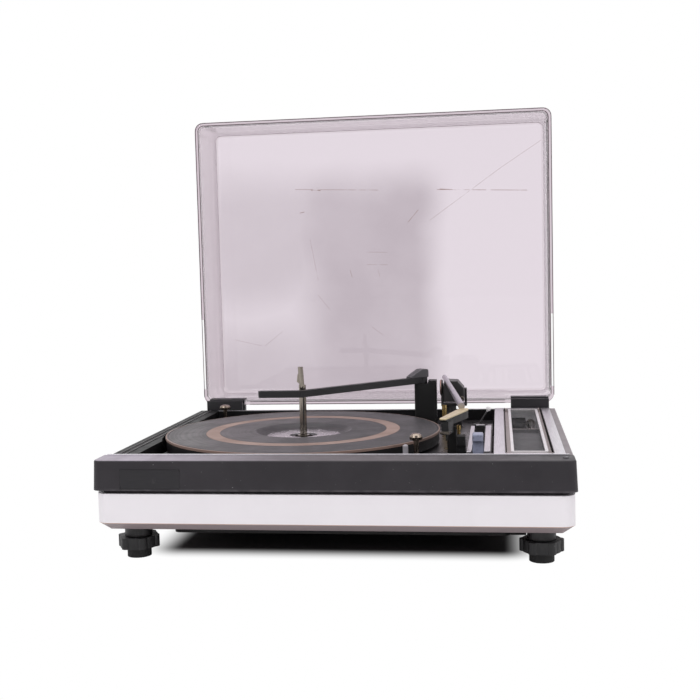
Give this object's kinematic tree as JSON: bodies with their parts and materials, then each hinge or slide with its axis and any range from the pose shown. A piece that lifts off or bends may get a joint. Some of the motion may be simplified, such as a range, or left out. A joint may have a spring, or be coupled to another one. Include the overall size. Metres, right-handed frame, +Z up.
{
  "type": "record changer",
  "caption": "Stacking record player on a plinth with levelling feet, hinged smoky dust cover, spindle changer with overarm, tonearm, accessory pocket and side levers.",
  "frame": {"origin": "Middle of the footprint, with the dust cover open, at the height of the surface the feet stand on.", "axes": "+Z up, -Y toward the front rail, +X to the right seen from the front."},
  "size_m": [0.4068, 0.427, 0.4197],
  "materials": {
    "silver_white_shell": "satin",
    "charcoal_band": "satin",
    "brushed_trim": "brushed",
    "badge_metal": "satin",
    "pan_steel": "matte",
    "deck_steel": "satin",
    "spring_steel": "plain",
    "hinge_plastic": "satin",
    "smoke_acrylic": "clear gloss",
    "tray_plastic": "satin",
    "black_plastic": "satin",
    "nickel": "polished",
    "window_smoke": "clear gloss",
    "frame_silver": "satin",
    "platter_alloy": "machined",
    "mat_rubber": "ribbed matte",
    "ring_tan": "matte",
    "hub_chrome": "polished",
    "bearing_brass": "turned",
    "motor_case": "satin",
    "pulley_brass": "turned",
    "idler_rubber": "matte",
    "gear_nylon": "matte",
    "arm_black": "satin",
    "cap_grey": "satin",
    "arm_tube_grey": "satin",
    "weight_grey": "satin",
    "shell_grey": "satin",
    "plate_beige": "satin",
    "lever_blue_grey": "satin",
    "foot_plastic": "satin",
    "foot_rubber": "matte",
    "socket_metal": "plain",
    "gland_rubber": "matte"
  },
  "bodies": {
    "base": {"plinth_shell": "silver_white_shell", "bottom_cover": "pan_steel", "top_frame": "charcoal_band", "badge_plate": "badge_metal", "rail_trim": "brushed_trim", "deck_trim": "brushed_trim", "unit_plate": "deck_steel", "suspension_mounts": "spring_steel", "transit_screws": "nickel", "size_pin": "cap_grey", "motor_body": "motor_case", "idler_arm": "spring_steel", "bearing_post": "bearing_brass", "auto_spindle": "nickel", "overarm_tower": "arm_black", "tonearm_base": "black_plastic", "arm_rest": "shell_grey", "control_plate": "deck_steel", "lift_pillar": "bearing_brass", "accessory_tray": "tray_plastic", "accessory_box": "black_plastic", "single_play_spindle": "nickel", "hinge_base_left": "hinge_plastic", "hinge_base_right": "hinge_plastic", "socket_panel": "socket_metal", "mains_gland": "gland_rubber"},
    "lid": {"dust_cover": "smoke_acrylic", "hinge_leaf_left": "hinge_plastic", "hinge_leaf_right": "hinge_plastic"},
    "tray_lid": {"tray_lid_frame": "frame_silver", "tray_lid_window": "window_smoke"},
    "platter_body": {"platter": "platter_alloy", "platter_mat": "mat_rubber", "mat_ring": "ring_tan", "hub_disc": "hub_chrome"},
    "idler": {"idler_wheel": "idler_rubber"},
    "motor_rotor": {"motor_pulley": "pulley_brass"},
    "cycle_gear": {"cam_gear": "gear_nylon"},
    "overarm_riser": {"overarm_rod": "nickel"},
    "overarm_body": {"overarm": "arm_black", "overarm_cap": "cap_grey"},
    "tonearm_turn": {"tonearm_turret": "weight_grey"},
    "tonearm_body": {"tonearm_tube": "arm_tube_grey", "counterweight": "weight_grey", "counterweight_screw": "nickel", "headshell": "shell_grey", "headshell_plate": "plate_beige", "cartridge": "black_plastic", "cartridge_clip": "nickel"},
    "speed_control": {"speed_knob": "black_plastic"},
    "function_control": {"function_lever": "lever_blue_grey"},
    "cue_control": {"cue_lever": "nickel"},
    "foot_front_left": {"foot_wheel_front_left": "foot_plastic", "foot_cup_front_left": "foot_rubber"},
    "foot_front_right": {"foot_wheel_front_right": "foot_plastic", "foot_cup_front_right": "foot_rubber"},
    "foot_rear_left": {"foot_wheel_rear_left": "foot_plastic", "foot_cup_rear_left": "foot_rubber"},
    "foot_rear_right": {"foot_wheel_rear_right": "foot_plastic", "foot_cup_rear_right": "foot_rubber"}
  },
  "joints": [
    {"name": "lid_hinge", "type": "hinge", "parent": "base", "child": "lid", "pos_m": [0, 0.14375, 0.09125], "axis": [-1, 0, 0], "range_deg": [-90, 0]},
    {"name": "tray_lid_hinge", "type": "hinge", "parent": "base", "child": "tray_lid", "pos_m": [0.1668, 0.1113, 0.087], "axis": [-1, 0, 0], "range_deg": [0, 80]},
    {"name": "platter_spin", "type": "hinge", "parent": "base", "child": "platter_body", "pos_m": [-0.0505, -0.0425, 0.08], "axis": [0, 0, 1], "continuous": true},
    {"name": "idler_spin", "type": "hinge", "parent": "base", "child": "idler", "pos_m": [-0.02257, 0.06172, 0.081], "axis": [0, 0, 1], "continuous": true},
    {"name": "motor_spin", "type": "hinge", "parent": "base", "child": "motor_rotor", "pos_m": [-0.05077, 0.05926, 0.081], "axis": [0, 0, 1], "continuous": true},
    {"name": "cycle_gear_spin", "type": "hinge", "parent": "base", "child": "cycle_gear", "pos_m": [-0.06897, -0.09324, 0.078], "axis": [0, 0, 1], "continuous": true},
    {"name": "overarm_lift", "type": "slide", "parent": "base", "child": "overarm_riser", "axis": [0, 0, 1], "range_m": [0, 0.028]},
    {"name": "overarm_swing", "type": "hinge", "parent": "overarm_riser", "child": "overarm_body", "pos_m": [0.0605, 0.0605, 0.128], "axis": [0, 0, 1], "range_deg": [0, 40]},
    {"name": "tonearm_swing", "type": "hinge", "parent": "base", "child": "tonearm_turn", "pos_m": [0.091, 0.0585, 0.09], "axis": [0, 0, 1], "range_deg": [-38, 0]},
    {"name": "tonearm_lift", "type": "hinge", "parent": "tonearm_turn", "child": "tonearm_body", "pos_m": [0.091, 0.0585, 0.116], "axis": [-1, 0, 0], "range_deg": [0, 8]},
    {"name": "speed_knob_tilt", "type": "hinge", "parent": "base", "child": "speed_control", "pos_m": [0.1076, -0.1315, 0.0785], "axis": [1, 0, 0], "range_deg": [-10, 10]},
    {"name": "function_lever_tilt", "type": "hinge", "parent": "base", "child": "function_control", "pos_m": [0.1224, -0.1315, 0.0785], "axis": [1, 0, 0], "range_deg": [-12, 12]},
    {"name": "cue_lever_tilt", "type": "hinge", "parent": "base", "child": "cue_control", "pos_m": [0.119, 0.0505, 0.0789], "axis": [1, 0, 0], "range_deg": [-10, 15]},
    {"name": "foot_front_left_turn", "type": "hinge", "parent": "base", "child": "foot_front_left", "pos_m": [-0.175, -0.1785, 0.014], "axis": [0, 0, 1], "range_deg": [-180, 180]},
    {"name": "foot_front_right_turn", "type": "hinge", "parent": "base", "child": "foot_front_right", "pos_m": [0.175, -0.1785, 0.014], "axis": [0, 0, 1], "range_deg": [-180, 180]},
    {"name": "foot_rear_left_turn", "type": "hinge", "parent": "base", "child": "foot_rear_left", "pos_m": [-0.175, 0.1115, 0.014], "axis": [0, 0, 1], "range_deg": [-180, 180]},
    {"name": "foot_rear_right_turn", "type": "hinge", "parent": "base", "child": "foot_rear_right", "pos_m": [0.175, 0.1115, 0.014], "axis": [0, 0, 1], "range_deg": [-180, 180]}
  ],
  "couplings": [
    {"joint": "idler_spin", "follows": "platter_spin", "ratio": 5.9182},
    {"joint": "motor_spin", "follows": "platter_spin", "ratio": -21.7}
  ]
}
